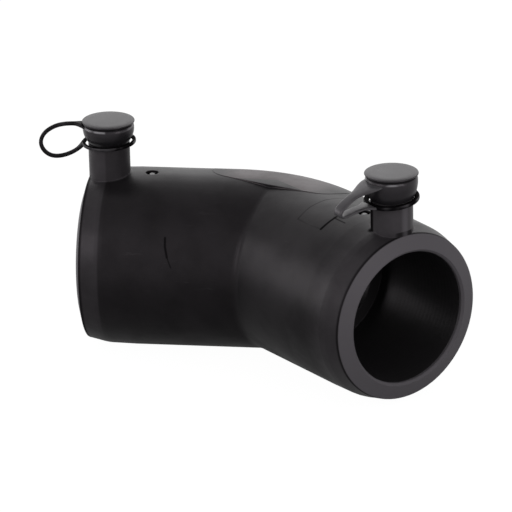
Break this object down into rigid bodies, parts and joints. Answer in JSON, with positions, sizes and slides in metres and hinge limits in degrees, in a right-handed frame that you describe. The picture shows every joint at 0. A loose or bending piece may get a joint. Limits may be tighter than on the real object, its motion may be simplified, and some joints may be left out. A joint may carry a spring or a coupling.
{
  "type": "electrofusion elbow",
  "caption": "Moulded electrofusion elbow for plastic pipe, with plain sockets, a raised saddle over the bend, upright terminals under strapped caps and fusion indicator pins.",
  "frame": {"origin": "centre of the mouth of socket A, less than 1 mm outside the end of its bore", "axes": "+X into socket A along its axis, +Z out of the sockets' plane on the terminals' side"},
  "size_m": [0.1332, 0.0865, 0.0707],
  "materials": {
    "body": "satin moulded",
    "cap": "satin moulded",
    "indicator": "satin",
    "wire": "drawn",
    "terminal": "turned"
  },
  "bodies": {
    "elbow": {"elbow_body": "body", "heating_wire": "wire", "terminal_pin_a": "terminal", "terminal_pin_b": "terminal"},
    "cap_a": {"terminal_cap_a": "cap"},
    "cap_b": {"terminal_cap_b": "cap"},
    "indicator_a": {"fusion_indicator_a": "indicator"},
    "indicator_b": {"fusion_indicator_b": "indicator"}
  },
  "joints": [
    {"name": "cap_a_lift", "type": "slide", "parent": "elbow", "child": "cap_a", "axis": [0, 0, 1], "range_m": [0, 0.025]},
    {"name": "cap_b_lift", "type": "slide", "parent": "elbow", "child": "cap_b", "axis": [0, 0, 1], "range_m": [0, 0.025]},
    {"name": "indicator_a_rise", "type": "slide", "parent": "elbow", "child": "indicator_a", "axis": [0, 0, 1], "range_m": [0, 0.0025]},
    {"name": "indicator_b_rise", "type": "slide", "parent": "elbow", "child": "indicator_b", "axis": [0, 0, 1], "range_m": [0, 0.0025]}
  ]
}
